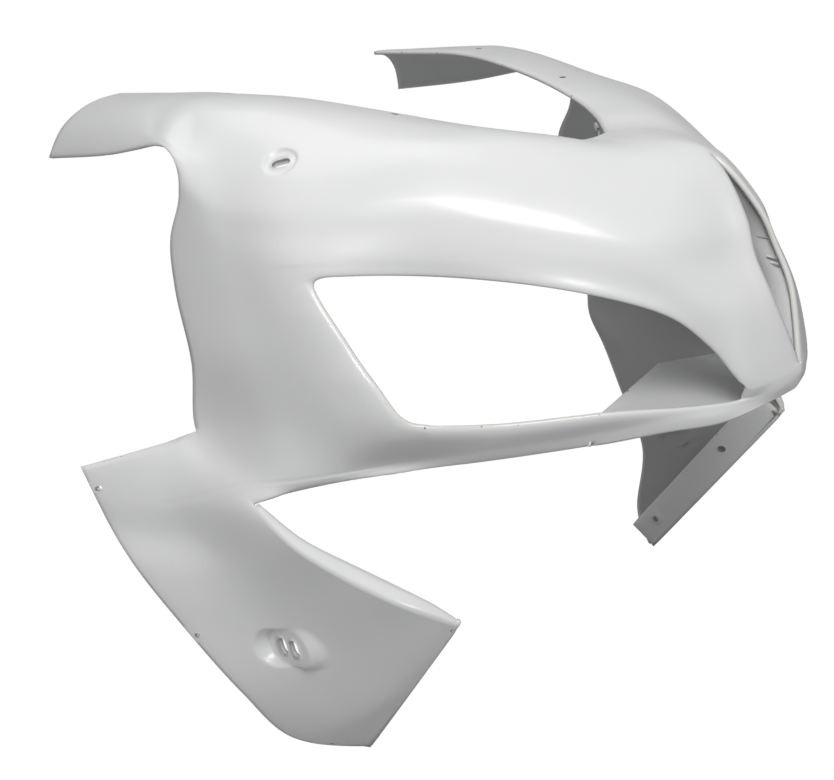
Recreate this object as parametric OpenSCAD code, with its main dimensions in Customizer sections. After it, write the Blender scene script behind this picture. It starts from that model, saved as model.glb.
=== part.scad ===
// Nose fairing of a sports motorcycle, moulded in one piece and left unpainted.
// The nose points to -Y and +X is the rider's left. One half is drawn through feature lines
// measured from the foot of the intake slot at the chin, and mirrored.

/* [Overall] */
// Width across the side panels at the shoulder
side_w = 486; // [420:1:560]
// Length from the chin to the rear edge of the side panels
side_l = 366; // [320:1:420]
// Height of the windscreen edge above the chin at the rear
hood_h = 274; // [230:1:320]
// Thickness of the moulded wall
wall_t = 3; // [2:0.5:4]
// Thickness of the rolled free edges
edge_t = 5; // [3:0.5:6]

/* [Windscreen opening] */
// Width of the windscreen opening at the rear
screen_w = 256; // [220:1:290]
// Length of the rear tabs beyond the side panels
tab_l = 145; // [100:1:180]

/* [Nose] */
// Width of the intake slot at its waist
intake_w = 27; // [20:1:34]
// Depth of the band below the headlight windows
band_h = 36; // [28:1:44]
// Length of the closing floor behind the chin
floor_l = 105; // [80:1:112]

/* [Lower arms] */
// Drop of the arm from its neck to its lowest corner
arm_drop = 224; // [180:1:260]
// Reach of the arm tip forward from the neck
arm_reach = 190; // [150:1:220]
// Flare of the arm out from the shoulder
arm_flare = 73; // [50:1:95]
// Width of the mounting flange along the lower front edge
flange_w = 31; // [24:1:34]
// Width of the turned edge along the upper front of the arm
return_w = 13; // [8:1:16]

/* [Holes] */
// Diameter of the windscreen screw holes
screen_hole_d = 5; // [4:0.5:6]
// Width of the mirror slot in its pad
mirror_hole_d = 7; // [5:0.5:9]
// Distance between the end centres of the mirror slot
mirror_slot_l = 6; // [3:0.5:8]
// Diameter of the mirror pad
mirror_pad_d = 26; // [20:1:32]
// Thickness of the mirror pad under the skin
mirror_pad_t = 8; // [6:1:12]
// Diameter of the holes in the mounting flanges
flange_hole_d = 6; // [4:0.5:8]
// Distance between the two holes of a mounting flange
flange_hole_gap = 116; // [90:1:130]
// Diameter of the clip holes near the rear edges of the arms
clip_hole_d = 5; // [4:0.5:6]
// Height of the oval indicator seat
lamp_seat_d = 34; // [30:1:38]
// Distance between the end centres of the indicator seat
lamp_seat_l = 22; // [16:1:26]
// Diameter of the indicator holes
lamp_hole_d = 10; // [7:0.5:11]
// Distance between the two indicator holes
lamp_hole_gap = 14.5; // [13:0.5:16]

/* [Hidden] */

// Sizes at which the feature lines below were drawn
drawn_side_w = 486;
drawn_side_l = 366;
drawn_hood_h = 274;
drawn_screen_w = 256;
drawn_tab_l = 145;
drawn_intake_w = 27;
drawn_band_h = 36;
drawn_arm_drop = 224;
drawn_arm_reach = 190;
drawn_arm_flare = 73;

// Feature lines of one half, from the centre plane to the rear edge, in mm.
// Each line has the same eleven stations: 0 centre, 1 edge of the intake slot, 3 front corner
// of the headlight window, 8 rear corner of the window, 10 rear edge of the side panel.
screen_edge = [[0, 117, 177], [7, 119, 176], [15, 126, 176], [23, 133.5, 176.5], [33, 143, 181],
    [43, 154, 189], [57, 172.5, 199], [74, 204, 216], [92, 246, 236], [110, 299, 258], [128, 347, 274]];
hood_crown = [[0, 74, 166], [7, 75, 166], [17, 80, 167], [27, 86, 168], [38, 93, 171],
    [51, 104, 177], [72, 127, 188], [104, 181, 211], [138, 241, 234], [158, 296, 256], [170, 340, 270]];
shoulder = [[0, 31, 142], [1.5, 31, 142], [17, 39, 144], [32, 50, 146], [44, 60, 147],
    [59, 73, 150], [86, 103, 164], [132, 163, 195], [182, 237, 212], [199, 292, 230], [213, 328, 246]];
upper_side = [[0, 16, 104], [9, 15.5, 104], [22, 21, 104], [36, 27.5, 104], [50, 36, 105],
    [66, 49, 109], [97, 82, 127], [150, 152, 165], [206, 228, 182], [218, 284, 199], [225, 312, 225]];
waist = [[0, 10, 78], [13.5, 10.3, 78], [23, 15, 78], [37, 21, 78], [51, 28, 80],
    [67, 43, 86], [101, 80, 110], [156, 151, 143], [211, 223, 164], [223, 283, 178], [227.5, 321, 206]];
above_window = [[0, 3, 50], [12.2, 3.5, 50], [24, 8.5, 48], [38, 15, 46], [51.5, 25, 52],
    [68, 42, 66], [104, 80, 94], [158, 151, 127], [215, 218, 149], [226, 281, 158], [229.5, 345, 180]];
window_top = [[0, 0, 0], [1, 0, 1], [19, 6.5, -2], [40, 17.5, -3], [52, 30, 27],
    [69, 42, 53], [106, 78, 83], [158, 153, 115], [216, 214, 135], [229, 279, 134], [233, 353, 143]];
window_middle = [[0, 1, -6], [1, 1, -6], [18.5, 7, -6], [38.5, 20, -8], [52, 33, 7],
    [70, 47, 20], [104, 78, 38], [158, 143, 60], [212.5, 192, 85], [232, 270, 90], [238.5, 351, 90]];
window_foot = [[0, 3, -10], [1, 3, -10], [18, 9, -12], [37, 24, -13], [50, 34.5, -11],
    [72, 52.5, -7], [104, 80, 1], [158, 133.5, 13], [206.5, 169, 32], [232, 268, 40], [243, 366, 37]];
band_crease = [[0, 6, -15], [1, 6, -15], [18, 13, -17], [36, 25, -18.5], [51.5, 35.5, -18.5],
    [76, 61, -15.5], [106, 100, -14], [156, 156, -9], [192, 201, -5], [236, 261, -2], [254, 307, -1]];
band_edge = [[0, 9, -18], [1, 9, -18], [17, 15, -20], [35, 25, -23], [50, 37.3, -25],
    [73, 63, -23], [103, 105, -23], [151, 161, -18], [193, 200, -10], [231, 260, -11], [258, 291, -11]];

// Rear tabs: the same lines carried on behind the rear edge, at four more stations
tab_screen_edge = [[131.5, 364, 279.5], [134, 380, 284], [140, 418, 293], [148.5, 492, 310.5]];
tab_crown = [[173, 356, 274], [174, 378, 279], [174, 425, 289], [174, 502, 305]];
tab_crease = [[211, 338, 254], [209, 358, 260], [203, 398, 273], [197, 517, 295]];
tab_foot = [[220, 322, 239], [218, 342, 248], [214.5, 430, 257], [210.5, 533, 273]];

// Lower arm: lines from the front edge, or from the neck, out to the rear edge
arm_top = [[272, 388, 34], [316, 419, 33]];
arm_valley = [[278, 380, -9], [312, 420, 5]];
arm_neck = [[272, 369, -37], [308, 421, -19]];
arm_a = [[262, 246, -40], [268, 341, -69], [304, 408, -55]];
arm_b = [[252, 210, -64], [258, 314, -107], [292, 387, -101]];
arm_c = [[240, 174, -84], [244, 285, -142], [273, 358, -168]];
arm_d = [[228, 160, -95], [226, 273, -188], [241, 358, -227]];
arm_foot = [[216, 150, -107], [209, 224, -169], [200, 321, -250]];

// Steps between stations along a line, and between neighbouring lines
body_steps = [1, 1, 2, 2, 2, 3, 4, 4, 5, 4];
tab_steps = [1, 1, 2, 3];
arm_steps = [4, 4];
line_steps = [3, 4, 3, 3, 2, 3, 3, 3, 3, 1];
arm_line_steps = [3, 3, 2, 3, 3];
floor_steps = 2;
flange_steps = 2;

function sum_to(list, n, i = 0) = i >= n ? 0 : list[i] + sum_to(list, n, i + 1);

// Grid numbers of the corners where the outline turns
slot_col = sum_to(body_steps, 1);
window_col_a = sum_to(body_steps, 3);
window_col_b = sum_to(body_steps, 8);
floor_col = sum_to(body_steps, 6);
rear_col = sum_to(body_steps, 10);
tab_col = rear_col + sum_to(tab_steps, 4);
last_col = rear_col + sum_to(arm_steps, 2);
slot_row = sum_to(line_steps, 2);
tab_row = sum_to(line_steps, 3);
window_row_a = sum_to(line_steps, 6);
window_row_b = sum_to(line_steps, 8);
band_row = sum_to(line_steps, 10);
foot_row = band_row + sum_to(arm_line_steps, 5);
last_row = foot_row + flange_steps;

// Points follow the driving sizes: the whole half is stretched in width, length and height,
// and each feature with a size of its own moves from the place where it was drawn
kx = side_w / drawn_side_w;
ky = side_l / drawn_side_l;
kz = hood_h / drawn_hood_h;
function stretched(p, k) = [p.x * k.x, p.y * k.y, p.z * k.z];
function stretched_line(line, k) = [for (p = line) stretched(p, k)];
screen_k = screen_w / drawn_screen_w;
intake_k = intake_w / drawn_intake_w;
band_k = band_h / drawn_band_h;
function side_line(line) = stretched_line(line, [kx, ky, kz]);
function nose_line(line) =
    [for (i = [0:len(line) - 1]) stretched(line[i], [i < 2 ? intake_k : kx, ky, kz])];
function hung_line(line) =
    [for (i = [0:len(line) - 1]) stretched(window_foot[i], [kx, ky, kz])
        + stretched(line[i] - window_foot[i], [kx, ky, band_k])];

drawn_neck = window_foot[10];
neck = stretched(drawn_neck, [kx, ky, kz]);
arm_k = [arm_flare / drawn_arm_flare, arm_reach / drawn_arm_reach, arm_drop / drawn_arm_drop];
function arm_point(p) = neck + stretched(p - drawn_neck, arm_k);
function arm_line(line) = [for (p = line) arm_point(p)];

drawn_tab_root = screen_edge[10];
tab_root = stretched(drawn_tab_root, [kx * screen_k, ky, kz]);
tab_k = [kx, tab_l / drawn_tab_l, tab_l / drawn_tab_l];
function tab_line(line) = [for (p = line) tab_root + stretched(p - drawn_tab_root, tab_k)];

function joined(body, extra) = concat([body[9], body[10]], extra);

// Smooth curve through the points of a line; n lists the steps of each span
function knot(a, b) = sqrt(norm(b - a)) + 0.001;
function inner_slope(p, k) =
    let (d0 = knot(p[k - 1], p[k]), d1 = knot(p[k], p[k + 1]))
    ((p[k] - p[k - 1]) / d0 * d1 + (p[k + 1] - p[k]) / d1 * d0) / (d0 + d1);
function slope_at(p, k) =
    len(p) == 2 ? (p[1] - p[0]) / knot(p[0], p[1]) :
    k == 0 ? 1.5 * (p[1] - p[0]) / knot(p[0], p[1]) - 0.5 * inner_slope(p, 1) :
    k == len(p) - 1 ?
        1.5 * (p[k] - p[k - 1]) / knot(p[k - 1], p[k]) - 0.5 * inner_slope(p, k - 1) :
    inner_slope(p, k);
function on_span(p, k, t) =
    let (d = knot(p[k], p[k + 1]), s = 1 - t)
    p[k] * s * s * (1 + 2 * t) + p[k + 1] * t * t * (3 - 2 * t)
    + slope_at(p, k) * d * t * s * s - slope_at(p, k + 1) * d * t * t * s;
function curve(p, n) = concat(
    [for (k = [0:len(n) - 1]) for (j = [0:n[k] - 1]) on_span(p, k, j / n[k])],
    [p[len(n)]]);
function column(lines, i) = [for (line = lines) line[i]];
function loft(lines, n) = [for (i = [0:len(lines[0]) - 1]) curve(column(lines, i), n)];
function tail(list, n) = [for (i = [n:len(list) - 1]) list[i]];

// Each grid below is indexed [column][row]
body_lines = [
    [for (p = screen_edge) stretched(p, [kx * screen_k, ky, kz])],
    side_line(hood_crown), nose_line(shoulder), nose_line(upper_side), nose_line(waist),
    nose_line(above_window), nose_line(window_top), side_line(window_middle),
    side_line(window_foot), hung_line(band_crease), hung_line(band_edge)];
body_grid = loft([for (line = body_lines) curve(line, body_steps)], line_steps);

tab_lines = [for (k = [0:3])
    tail(curve(joined(body_lines[k],
        tab_line([tab_screen_edge, tab_crown, tab_crease, tab_foot][k])),
        concat([1], tab_steps)), 1)];
tab_grid = loft(tab_lines, [line_steps[0], line_steps[1], line_steps[2]]);

arm_lines = concat(
    [for (k = [0:2]) tail(curve(joined(body_lines[k + 8],
        arm_line([arm_top, arm_valley, arm_neck][k])), concat([1], arm_steps)), 1)],
    [for (line = [arm_a, arm_b, arm_c, arm_d, arm_foot]) curve(arm_line(line), arm_steps)]);
arm_grid = loft(arm_lines, concat([line_steps[8], line_steps[9]], arm_line_steps));

// The floor closes the nose behind the chin, and its rear edge rises to a low ridge
floor_inset = 2;
floor_ridge = 0.21;
floor_sweep = 0.07;
function floor_end(i) = let (p = body_grid[i][band_row])
    [p.x, max(p.y + floor_inset, body_grid[0][band_row].y + floor_l * ky + floor_sweep * p.x),
        -floor_ridge * p.x];
function floor_point(i, j) =
    body_grid[i][band_row] * (1 - j / floor_steps) + floor_end(i) * (j / floor_steps);

// The turned front edge of the arm narrows towards the tip
function arm_at(i, j) = arm_grid[i - rear_col][j - window_row_b];
function turned_edge(j) =
    let (s = (j - band_row) / (foot_row - band_row))
    arm_at(rear_col, j) + return_w * (1.05 - 0.7 * s * s) * [-0.95, -0.1, 0.3];
function flange_point(i, j) =
    arm_at(i, foot_row) + flange_w * (j / flange_steps) * [-0.04, 0.65, 0.76];

function grid_point(i, j) =
    i <= rear_col && j <= band_row ? body_grid[i][j] :
    i > rear_col && i <= tab_col && j <= tab_row ? tab_grid[i - rear_col][j] :
    i >= rear_col && j >= window_row_b && j <= foot_row ? arm_at(i, j) :
    i >= rear_col && j > foot_row ? flange_point(i, j - foot_row) :
    i <= floor_col && j > band_row && j <= band_row + floor_steps ? floor_point(i, j - band_row) :
    i == rear_col - 1 && j > band_row && j <= foot_row ? turned_edge(j) :
    [0, 0, 0];

// A cell is kept where the moulding has material
function in_cell(i, j) =
    i < 0 || j < 0 || i >= last_col || j >= last_row ? false :
    i < rear_col && j < band_row ?
        !(i >= window_col_a && i < window_col_b && j >= window_row_a && j < window_row_b)
        && !(i < slot_col && j >= slot_row && j < window_row_a) :
    i >= rear_col && i < tab_col && j < tab_row ? true :
    i >= rear_col && j >= window_row_b && j < last_row ? true :
    i < floor_col && j >= band_row && j < band_row + floor_steps ? true :
    i == rear_col - 1 && j > band_row && j < foot_row;
function kept(i, j) = in_cell(i < 0 ? -1 - i : i, j);

cols = 2 * last_col + 1;
rows = last_row + 1;
function mirrored(p) = [-p.x, p.y, p.z];
half_points = [for (i = [0:last_col]) [for (j = [0:last_row]) grid_point(i, j)]];
function skin(i, j) = i < 0 ? mirrored(half_points[-i][j]) : half_points[i][j];

function unit(v) = v / max(norm(v), 0.000001);
function cell_normal(i, j) =
    unit(cross(skin(i + 1, j + 1) - skin(i, j), skin(i + 1, j) - skin(i, j + 1)));
function around(i, j) =
    [for (c = [[i - 1, j - 1], [i, j - 1], [i - 1, j], [i, j]]) if (kept(c.x, c.y)) c];
function vsum(list, k = 0) = k >= len(list) ? [0, 0, 0] : list[k] + vsum(list, k + 1);
function back(i, j) =
    let (cells = around(i, j), n = len(cells))
    n == 0 ? [0, 0, 0] :
    let (
        m = vsum([for (c = cells) cell_normal(c.x, c.y)]) / n,
        t = n < 4 ? edge_t : wall_t)
    skin(i, j) - m * t / max(m * m, 0.15);

points = concat(
    [for (i = [-last_col:last_col]) for (j = [0:last_row]) skin(i, j)],
    [for (i = [-last_col:last_col]) for (j = [0:last_row]) back(i, j)]);
function id(i, j, side) = (i + last_col) * rows + j + side * cols * rows;
function rim(i0, j0, i1, j1) = [
    [id(i0, j0, 0), id(i1, j1, 0), id(i1, j1, 1)],
    [id(i0, j0, 0), id(i1, j1, 1), id(i0, j0, 1)]];
function cell_faces(i, j) = concat([
    [id(i, j, 0), id(i + 1, j, 0), id(i + 1, j + 1, 0)],
    [id(i, j, 0), id(i + 1, j + 1, 0), id(i, j + 1, 0)],
    [id(i, j, 1), id(i + 1, j + 1, 1), id(i + 1, j, 1)],
    [id(i, j, 1), id(i, j + 1, 1), id(i + 1, j + 1, 1)]],
    kept(i, j - 1) ? [] : rim(i + 1, j, i, j),
    kept(i, j + 1) ? [] : rim(i, j + 1, i + 1, j + 1),
    kept(i - 1, j) ? [] : rim(i, j, i, j + 1),
    kept(i + 1, j) ? [] : rim(i + 1, j + 1, i + 1, j));
faces = [for (i = [-last_col:last_col - 1]) for (j = [0:last_row - 1])
    if (kept(i, j)) each cell_faces(i, j)];

// Places of the holes, taken from the skin that carries them
function skin_normal(i, j) = unit(cell_normal(i, j) + cell_normal(i - 1, j)
    + cell_normal(i, j - 1) + cell_normal(i - 1, j - 1));
screw_row = 1;
front_screw = skin(window_col_b - 2, screw_row);
rear_screw = skin(rear_col, screw_row);
screw_pad_d = screen_hole_d + 9;
screw_pad_t = 6;
mirror_at = skin(window_col_b, slot_row);
mirror_axis = skin_normal(window_col_b, slot_row);
mirror_sink = 2;
lamp_row = band_row + sum_to(arm_line_steps, 2) + 1;
lamp_at = skin(rear_col + arm_steps[0], lamp_row);
lamp_seat_t = 9;
lamp_seat_x = lamp_at.x - 1;
flange_root_a = arm_at(last_col, foot_row);
flange_root_b = arm_at(rear_col, foot_row);
flange_run = unit([0, flange_root_b.y - flange_root_a.y, flange_root_b.z - flange_root_a.z]);
flange_rise = 0.58 * flange_w;
flange_hole_end = 29;
flange_lean = (flange_root_b.x - flange_root_a.x) / norm(flange_root_b - flange_root_a);
function flange_hole(along) = flange_root_a + along * flange_run
    + [flange_lean * along - 0.02 * flange_w, 0.65 * flange_rise, 0.76 * flange_rise];
flange_pad_d = flange_hole_d + 12;
flange_pad_t = 6;
clip_inset = 8;
function clip_at(j) = let (edge = arm_at(last_col, j), inner = arm_at(last_col - 1, j))
    edge + clip_inset * unit(inner - edge);
clip_spots = [clip_at(window_row_b + line_steps[8]), clip_at(lamp_row), clip_at(foot_row - 2)];
drill = 40;
screen_tab = [9, 3, 6];
screen_tab_at = skin(slot_col + 2, 0) + [0, 2, -2];

// The origin is the middle of the whole moulding's box
function spread_of(k) = let (c = [for (p = points) p[k]]) (min(c) + max(c)) / 2;
middle = [0, spread_of(1), spread_of(2)];

// Upright oval disc, lying fore and aft, whose axis is the cross direction
module long_disc(h, d) {
    hull() for (k = [-0.5, 0.5])
        translate([0, k * lamp_seat_l, 0]) along([1, 0, 0]) cylinder(h = h, d = d, $fn = 32);
}

module along(axis) {
    rotate([0, acos(axis.z / norm(axis)), atan2(axis.y, axis.x)]) children();
}

module both_sides() {
    children();
    mirror([1, 0, 0]) children();
}

module skin_shell() {
    polyhedron(points, faces);
}

// Thickened seats under the skin, one side
module seats() {
    for (p = [front_screw, rear_screw])
        translate([p.x, p.y, p.z - screw_pad_t - 1]) cylinder(h = screw_pad_t, d = screw_pad_d, $fn = 32);
    translate(mirror_at) along(mirror_axis)
        translate([0, 0, -mirror_pad_t]) cylinder(h = mirror_pad_t - 1, d = mirror_pad_d, $fn = 40);
    translate([lamp_seat_x - lamp_seat_t, lamp_at.y, lamp_at.z])
        long_disc(lamp_seat_t, lamp_seat_d);
    translate(screen_tab_at) cube(screen_tab, center = true);
    for (k = [0, 1])
        translate(flange_hole(flange_hole_end + k * flange_hole_gap) + [flange_pad_t / 2 - 1, 0, 0])
            along([1, 0, 0]) cylinder(h = flange_pad_t, d = flange_pad_d, center = true, $fn = 32);
}

// Everything drilled or sunk into one side
module drillings() {
    for (p = [front_screw, rear_screw])
        translate(p) cylinder(h = drill, d = screen_hole_d, center = true, $fn = 32);
    translate(mirror_at) along(mirror_axis) {
        hull() for (k = [-0.5, 0.5])
            translate([0, k * mirror_slot_l, 0])
                cylinder(h = drill, d = mirror_hole_d, center = true, $fn = 24);
        translate([0, 0, -mirror_sink]) cylinder(h = drill, d = mirror_pad_d - 2, $fn = 40);
    }
    for (k = [-0.5, 0.5])
        translate([lamp_seat_x, lamp_at.y + k * lamp_hole_gap, lamp_at.z])
            along([1, 0, 0]) cylinder(h = drill, d = lamp_hole_d, center = true, $fn = 32);
    translate([lamp_seat_x, lamp_at.y, lamp_at.z]) long_disc(drill, lamp_seat_d - 4);
    for (k = [0, 1])
        translate(flange_hole(flange_hole_end + k * flange_hole_gap))
            along([1, 0, 0]) cylinder(h = drill / 2, d = flange_hole_d, center = true, $fn = 32);
    for (p = clip_spots)
        translate(p) along([1, 0, 0]) cylinder(h = drill, d = clip_hole_d, center = true, $fn = 24);
}

module nose_fairing() {
    color("#e4e3e0")
    translate(-middle)
    difference() {
        union() {
            skin_shell();
            both_sides() seats();
        }
        both_sides() drillings();
    }
}

nose_fairing();
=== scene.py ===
"""Looks of the one-piece nose fairing: its shell, gloss finish, camera, stage and lamps."""

import bpy
import numpy as np
from mathutils import Matrix, Vector


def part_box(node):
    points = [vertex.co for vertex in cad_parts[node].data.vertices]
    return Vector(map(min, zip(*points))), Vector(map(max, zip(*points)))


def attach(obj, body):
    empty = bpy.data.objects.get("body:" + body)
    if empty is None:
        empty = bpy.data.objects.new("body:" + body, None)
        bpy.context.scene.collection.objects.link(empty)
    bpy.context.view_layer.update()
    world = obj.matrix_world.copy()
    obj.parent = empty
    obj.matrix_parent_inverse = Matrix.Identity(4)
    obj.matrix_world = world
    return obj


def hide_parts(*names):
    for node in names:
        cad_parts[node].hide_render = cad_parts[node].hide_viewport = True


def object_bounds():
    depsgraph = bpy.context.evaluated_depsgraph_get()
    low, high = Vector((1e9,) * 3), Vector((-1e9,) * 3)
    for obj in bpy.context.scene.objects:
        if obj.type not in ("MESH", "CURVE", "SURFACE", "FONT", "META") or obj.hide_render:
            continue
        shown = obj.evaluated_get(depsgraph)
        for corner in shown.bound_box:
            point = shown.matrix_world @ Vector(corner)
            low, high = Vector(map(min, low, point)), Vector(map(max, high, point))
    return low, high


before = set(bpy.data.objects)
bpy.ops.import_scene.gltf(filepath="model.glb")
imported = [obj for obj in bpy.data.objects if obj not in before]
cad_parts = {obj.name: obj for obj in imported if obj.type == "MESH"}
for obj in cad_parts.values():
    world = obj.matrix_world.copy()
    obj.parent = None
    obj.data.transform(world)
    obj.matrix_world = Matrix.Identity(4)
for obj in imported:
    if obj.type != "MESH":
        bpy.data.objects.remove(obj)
cad_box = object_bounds()

MM = 0.001
NODE = "nose_fairing"

# The feature lines are measured in mm from the foot of the intake slot at the chin, with the
# nose towards -Y. The chin is the foremost point, and the tabs end this far above it.
TAB_TOP = 310.5
node_low, node_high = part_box(NODE)
CHIN = np.array([0.0, node_low[1], node_high[2] - TAB_TOP * MM])

# Feature lines of one half, each with eleven stations from the centre plane to the rear edge
SCREEN_EDGE = [[0, 117, 177], [7, 119, 176], [15, 126, 176], [23, 133.5, 176.5], [33, 143, 181],
    [43, 154, 189], [57, 172.5, 199], [74, 204, 216], [92, 246, 236], [110, 299, 258],
    [128, 347, 274]]
HOOD_CROWN = [[0, 74, 166], [7, 75, 166], [17, 80, 167], [27, 86, 168], [38, 93, 171],
    [51, 104, 177], [72, 127, 188], [104, 181, 211], [138, 241, 235], [158, 296, 258.5],
    [170, 340, 273.5]]
SHOULDER = [[0, 34, 146.5], [1.5, 34, 146.5], [17, 39, 144], [32, 50, 146], [44, 60, 147],
    [59, 73, 150], [86, 103, 164], [132, 163, 195], [182, 237, 212], [198, 288, 229],
    [208.5, 316, 240.7]]
UPPER_SIDE = [[0, 12, 104], [10, 11.8, 104], [22, 21, 104], [36, 27.5, 104], [50, 36, 105],
    [66, 49, 109], [97, 82, 127], [150, 152, 165], [206, 228, 182], [218, 284, 199],
    [225, 312, 225]]
WAIST = [[0, 7.5, 78], [14.5, 7.8, 78], [23, 15.5, 78], [36.5, 23.5, 78], [50.5, 31, 80],
    [67, 43, 86], [101, 80, 110], [156, 151, 143], [211, 223, 164], [223, 283, 178],
    [227.5, 321, 206]]
ABOVE_WINDOW = [[0, 1.5, 50], [13.2, 2, 50], [24, 8.5, 48], [38, 15, 46], [51.5, 25, 52],
    [68, 42, 66], [104, 80, 94], [158, 151, 127], [215, 218, 149], [226, 281, 158],
    [229.5, 345, 180]]
WINDOW_TOP = [[0, 0, 0], [1, 0, 1], [19, 6.5, -2], [40, 17.5, -3], [52, 30, 27], [69, 42, 53],
    [106, 78, 83], [158, 153, 115], [216, 214, 135], [229, 279, 134], [233, 353, 143]]
WINDOW_MIDDLE = [[0, 1, -6], [1, 1, -6], [18.5, 7, -6], [38.5, 20, -8], [52, 33, 7],
    [70, 47, 20], [104, 78, 38], [158, 143, 60], [212.5, 192, 85], [232, 270, 90],
    [238.5, 351, 90]]
WINDOW_FOOT = [[0, 3, -10], [1, 3, -10], [18, 9, -12], [37, 24, -13], [50, 34.5, -11],
    [72, 52.5, -7], [104, 80, 0.5], [158, 133.5, 11], [205.5, 169, 26.5], [232, 268, 40],
    [243, 366, 37]]
BAND_CREASE = [[0, 6, -15], [1, 6, -15], [18, 13, -17], [36, 25, -18.5], [51.5, 35.5, -18.5],
    [76, 61, -15.5], [106, 100, -14], [156, 156, -9], [192, 201, -5], [236, 261, -2],
    [254, 307, -1]]
BAND_EDGE = [[0, 9, -18], [1, 9, -18], [17, 15, -20], [35, 25, -23], [50, 37.3, -25],
    [73, 63, -23], [103, 105, -23], [151, 161, -18], [193, 200, -10], [231, 260, -11],
    [258, 291, -11]]
BODY_LINES = [SCREEN_EDGE, HOOD_CROWN, SHOULDER, UPPER_SIDE, WAIST, ABOVE_WINDOW,
              WINDOW_TOP, WINDOW_MIDDLE, WINDOW_FOOT, BAND_CREASE, BAND_EDGE]

# Rear tabs carry on the first four lines, at four more stations
TAB_LINES = [
    [[131.5, 364, 279.5], [134, 380, 284], [140, 418, 293], [148.5, 492, 310.5]],
    [[173, 356, 277.5], [174, 378, 282.5], [174, 425, 293], [174, 502, 308]],
    [[211, 338, 254], [209, 358, 260], [203, 398, 273], [197, 517, 295]],
    [[220, 322, 239], [218, 342, 248], [214.5, 430, 257], [210.5, 533, 273]]]

# Lower arm: three lines carried on from the side panel, then lines from the front edge back
ARM_UPPER_LINES = [[[272, 388, 34], [316, 419, 33]], [[278, 380, -9], [312, 420, 5]],
                   [[272, 369, -37], [308, 421, -19]]]
ARM_LOWER_LINES = [
    [[262, 246, -40], [268, 341, -69], [304, 408, -55]],
    [[252, 210, -64], [258, 314, -107], [293, 390, -102]],
    [[240, 174, -84], [244, 285, -142], [274, 362, -169]],
    [[228, 160, -95], [226, 273, -188], [242, 362, -228]],
    [[216, 150, -107], [209, 224, -169], [200, 321, -250]]]

# Steps of this shell between stations along a line, and between neighbouring lines
BODY_STEPS = [2, 5, 5, 5, 6, 11, 20, 24, 16, 12]
TAB_STEPS = [4, 5, 10, 18]
ARM_STEPS = [26, 18]
LINE_STEPS = [12, 14, 10, 8, 7, 10, 14, 12, 10, 5]
ARM_LINE_STEPS = [10, 12, 16, 16, 12]
GROOVE_ROWS = [8.93, 9.07]
FLOOR_STEPS = 20
FLANGE_STEPS = 8

# Columns over which a tail blends into the body, columns and end rows of the arm's turned
# edge, and columns left free before the flange
JOIN_COLS = 14
TURN_STEPS = 4
TURN_START = 1
TURN_END = 2
RELIEF = 2

# Rounding of the corners: rounds, and reach in points; fading of a rolled edge inwards
ROUNDS = 14
ROUND_REACH = 6
EDGE_FADES = (0.35, 0.08)

# Sizes in mm
WALL_T = 3.0
EDGE_T = 3.6
EDGE_ROLL = 1.1
RIM_BULGE = 0.9
FLOOR_L = 105.0
FLANGE_T = 1.8
FLANGE_W = 31.0
FLANGE_TAPER = 34.0
RETURN_W = 13.0

# Directions in which the arm's flange rises and its front edge turns in
FLANGE_WAY = np.array([-0.04, 0.65, 0.76])
RETURN_WAY = np.array([-0.95, -0.1, 0.3])

# Depth in mm of the parting groove at stations along the band crease
GROOVE_AT = [8.15, 8.4, 9.5, 9.8, 10.1, 10.4, 10.9, 11.2]
GROOVE_DEPTH = [0, 0.6, 0.6, 0.1, 0.3, 0.3, 0.25, 0]

# How far the inner wall takes the inner side's matte finish and its darker colour, which is painted
# shade, at four rows, from the windscreen edge to the arm's foot: the painted shade is lightest
# near the windscreen opening and deepest at the arm's foot
INNER_MATTE_AND_SHADE = [0.32, 0.6, 0.85, 1.0]
# The floor plate's back takes a lighter painted shade
FLOOR_MATTE_AND_SHADE = 0.38


def spread(steps, extra=()):
    """Places along a line: each span is divided evenly, and extra places are put among them."""
    even = np.concatenate([k + np.arange(n) / n for k, n in enumerate(steps)] + [[len(steps)]])
    return np.sort(np.concatenate([even, extra]))


def curve(points, at):
    """Smooth curve through points[0], points[1], and so on, read at the places at.

    Each span is a cubic Hermite piece whose knot length is the square root of its chord. An
    inner slope blends the two chord slopes by the other span's length, and an end slope is
    one and a half chord slopes less half its neighbour's."""
    points = np.asarray(points, float)
    chord = np.sqrt(np.linalg.norm(np.diff(points, axis=0), axis=-1, keepdims=True)) + 0.001
    rate = np.diff(points, axis=0) / chord
    inner = (rate[:-1] * chord[1:] + rate[1:] * chord[:-1]) / (chord[:-1] + chord[1:])
    first = 1.5 * rate[:1] - 0.5 * inner[:1]
    last = 1.5 * rate[-1:] - 0.5 * inner[-1:]
    slope = np.concatenate([first, inner, last])
    span = np.minimum(at.astype(int), len(points) - 2)
    t = (at - span).reshape(-1, *[1] * (points.ndim - 1))
    s = 1 - t
    return (points[span] * s * s * (1 + 2 * t) + points[span + 1] * t * t * (3 - 2 * t)
            + slope[span] * chord[span] * t * s * s - slope[span + 1] * chord[span] * t * t * s)


def loft(lines, across):
    """Surface [column, row]: every column is a curve through the lines drawn along."""
    return curve(np.stack(lines), across).transpose(1, 0, 2)


WHOLE_LINES = ([body + tab for body, tab in zip(BODY_LINES, TAB_LINES)] + BODY_LINES[4:8]
               + [body + arm for body, arm in zip(BODY_LINES[8:], ARM_UPPER_LINES)])


def body_surface(along, across):
    """Surface from the nose to the rear edge: stations 0 to 10, lines 0 to 10."""
    return loft([curve(line, along) for line in WHOLE_LINES], across)


def arm_surface(along, across):
    """Surface of the lower arm: stations 0 to 2 behind the rear edge, lines 0 to 7."""
    upper = [curve(line, 10 + along) for line in WHOLE_LINES[8:]]
    return loft(upper + [curve(line, along) for line in ARM_LOWER_LINES], across)


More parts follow.
